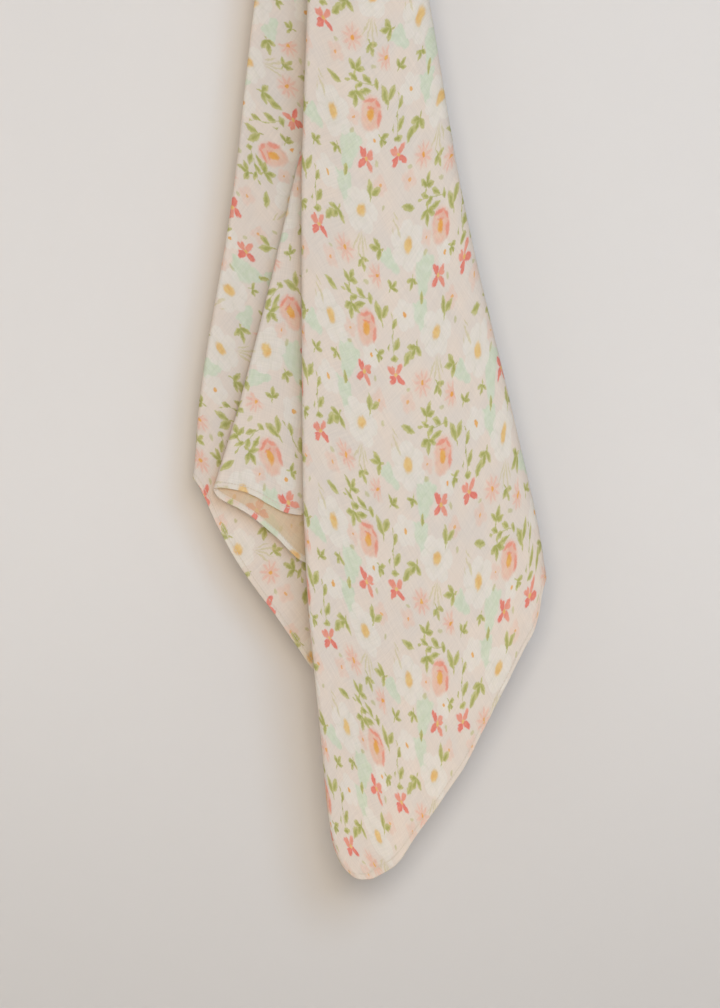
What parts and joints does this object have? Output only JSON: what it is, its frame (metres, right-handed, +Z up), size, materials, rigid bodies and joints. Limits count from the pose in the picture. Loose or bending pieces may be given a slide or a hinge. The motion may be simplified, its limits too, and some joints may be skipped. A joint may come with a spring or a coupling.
{
  "type": "swaddle blanket",
  "caption": "Square muslin swaddle blanket with a small floral print, hanging in soft folds from its middle.",
  "frame": {"origin": "the point the cloth hangs from, at the top of its crown, which is the middle of the square", "axes": "+Z up, front of the hanging cloth towards -Y, +X to the right seen from the front"},
  "size_m": [0.263, 0.117, 0.9019],
  "materials": {
    "muslin": "matt open-weave cotton muslin with a watercolour floral print"
  },
  "bodies": {
    "root": {"blanket": "muslin"}
  },
  "joints": []
}
